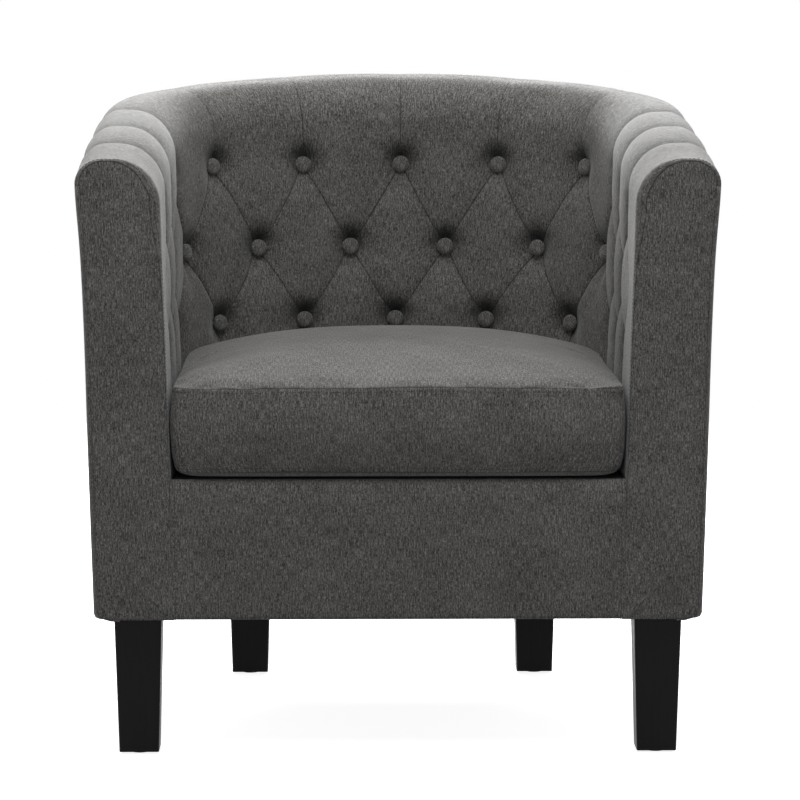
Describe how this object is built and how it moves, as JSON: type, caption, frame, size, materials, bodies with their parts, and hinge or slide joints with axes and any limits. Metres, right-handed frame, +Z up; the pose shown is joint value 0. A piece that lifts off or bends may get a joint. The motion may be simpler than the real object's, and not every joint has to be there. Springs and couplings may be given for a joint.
{
  "type": "club chair",
  "caption": "Diamond-tufted barrel club chair in grey linen cloth, with a lift-out boxed seat cushion and square tapered black legs.",
  "frame": {"origin": "on the floor, under the middle of the overall box", "axes": "+Z up, the chair faces -Y, +X to the right of someone looking at its front"},
  "size_m": [0.7183, 0.6904, 0.7601],
  "materials": {
    "linen_cloth": "mid-grey melange linen weave, matte",
    "black_leg": "black stained hardwood, satin lacquer",
    "plywood": "bare birch plywood",
    "hardwood": "bare planed hardwood",
    "fibreboard": "bare thin fibreboard",
    "foam": "open-cell upholstery foam",
    "steel": "zinc plated",
    "felt": "needled insulator felt",
    "deck_cloth": "black lining cloth",
    "dust_cloth": "black spun-bonded cloth",
    "twine": "waxed tufting twine",
    "plastic": "black nylon"
  },
  "bodies": {
    "frame": {"tufted_cover": "linen_cloth", "outside_cover": "linen_cloth", "arm_front_panel_left": "linen_cloth", "arm_front_panel_right": "linen_cloth", "front_border": "linen_cloth", "tuft_buttons_top": "linen_cloth", "tuft_buttons_middle": "linen_cloth", "tuft_buttons_bottom": "linen_cloth", "front_left_leg": "black_leg", "front_right_leg": "black_leg", "rear_left_leg": "black_leg", "rear_right_leg": "black_leg", "base_rail": "plywood", "side_rail_left": "plywood", "side_rail_right": "plywood", "back_rail": "plywood", "top_rail": "plywood", "arm_post_left": "plywood", "arm_post_right": "plywood", "front_rail": "hardwood", "leg_blocks": "hardwood", "side_post_left": "hardwood", "side_post_right": "hardwood", "corner_post_left": "hardwood", "corner_post_right": "hardwood", "back_post_left": "hardwood", "back_post_right": "hardwood", "back_post_middle": "hardwood", "outer_liner": "fibreboard", "inner_liner": "fibreboard", "back_foam": "foam", "top_roll_foam": "foam", "hanger_bolts": "steel", "tee_nuts": "steel", "sinuous_springs": "steel", "spring_clips": "steel", "seat_felt": "felt", "deck_cover": "deck_cloth", "dust_cover": "dust_cloth", "button_twine": "twine", "leg_glides": "plastic", "twine_toggles": "plastic"},
    "seat_cushion": {"cushion_core": "foam", "cushion_top_panel": "linen_cloth", "cushion_border": "linen_cloth", "cushion_bottom_panel": "linen_cloth"}
  },
  "joints": [
    {"name": "cushion_lift", "type": "slide", "parent": "frame", "child": "seat_cushion", "axis": [0, 0, 1], "range_m": [0, 0.46]}
  ]
}
